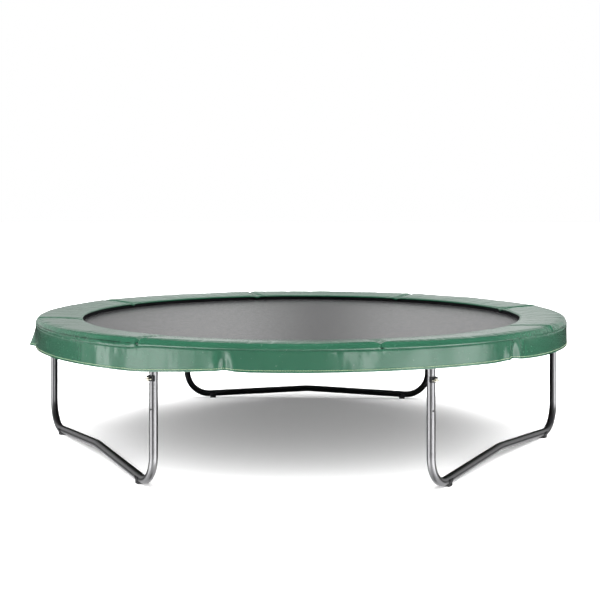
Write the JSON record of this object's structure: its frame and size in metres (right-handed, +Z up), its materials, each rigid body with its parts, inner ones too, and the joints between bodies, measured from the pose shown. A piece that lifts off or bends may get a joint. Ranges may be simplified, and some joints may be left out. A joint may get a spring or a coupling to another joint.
{
  "type": "backyard trampoline",
  "caption": "Round backyard trampoline: tubular steel ring on W-shaped legs, a sprung black jumping mat and a green padded spring cover with a hanging skirt.",
  "frame": {"origin": "on the ground under the centre of the jumping mat", "axes": "+Z up; +Y towards the leg that stands behind; +X to the right when seen from the open front"},
  "size_m": [3.1138, 3.0666, 0.7272],
  "materials": {
    "galvanised_steel": "bright galvanised",
    "black_plastic": "moulded, fine grain",
    "zinc_hardware": "zinc plated",
    "spring_steel": "bright zinc plated wire",
    "mat_weave": "woven polypropylene, slight sheen",
    "black_webbing": "woven webbing",
    "green_pvc": "coated fabric, semi-gloss",
    "foam": "closed-cell foam",
    "black_backing": "matt woven sheet",
    "black_elastic": "ribbed elastic"
  },
  "bodies": {
    "frame": {"clamp_bolts": "zinc_hardware", "clamp_saddles": "black_plastic", "elastic_straps": "black_elastic", "foot_clips_1": "black_plastic", "foot_clips_2": "black_plastic", "foot_clips_3": "black_plastic", "leg_base_1": "galvanised_steel", "leg_base_2": "galvanised_steel", "leg_base_3": "galvanised_steel", "leg_extension_1": "galvanised_steel", "leg_extension_2": "galvanised_steel", "leg_extension_3": "galvanised_steel", "leg_extension_4": "galvanised_steel", "leg_extension_5": "galvanised_steel", "leg_extension_6": "galvanised_steel", "pad_backing": "black_backing", "pad_cover_1": "green_pvc", "pad_cover_2": "green_pvc", "pad_cover_3": "green_pvc", "pad_cover_4": "green_pvc", "pad_cover_5": "green_pvc", "pad_cover_6": "green_pvc", "pad_cover_7": "green_pvc", "pad_cover_8": "green_pvc", "pad_foam_1": "foam", "pad_foam_2": "foam", "pad_foam_3": "foam", "pad_foam_4": "foam", "pad_foam_5": "foam", "pad_foam_6": "foam", "pad_foam_7": "foam", "pad_foam_8": "foam", "pad_skirt_1": "green_pvc", "pad_skirt_2": "green_pvc", "pad_skirt_3": "green_pvc", "pad_skirt_4": "green_pvc", "pad_skirt_5": "green_pvc", "pad_skirt_6": "green_pvc", "pad_skirt_7": "green_pvc", "pad_skirt_8": "green_pvc", "springs_1": "spring_steel", "springs_2": "spring_steel", "springs_3": "spring_steel", "springs_4": "spring_steel", "springs_5": "spring_steel", "springs_6": "spring_steel", "top_rail_1": "galvanised_steel", "top_rail_2": "galvanised_steel", "top_rail_3": "galvanised_steel", "top_rail_4": "galvanised_steel", "top_rail_5": "galvanised_steel", "top_rail_6": "galvanised_steel", "wing_nuts": "zinc_hardware"},
    "mat": {"jumping_mat": "mat_weave", "mat_hem": "black_webbing", "triangle_rings": "spring_steel", "webbing_loops": "black_webbing"}
  },
  "joints": [
    {"name": "mat_bounce", "type": "slide", "parent": "frame", "child": "mat", "axis": [0, 0, 1], "range_m": [-0.15, 0], "stiffness_N_per_m": 8000, "springref_m": 0.03, "deforming": ["springs_1", "springs_2", "springs_3", "springs_4", "springs_5", "springs_6"]}
  ]
}
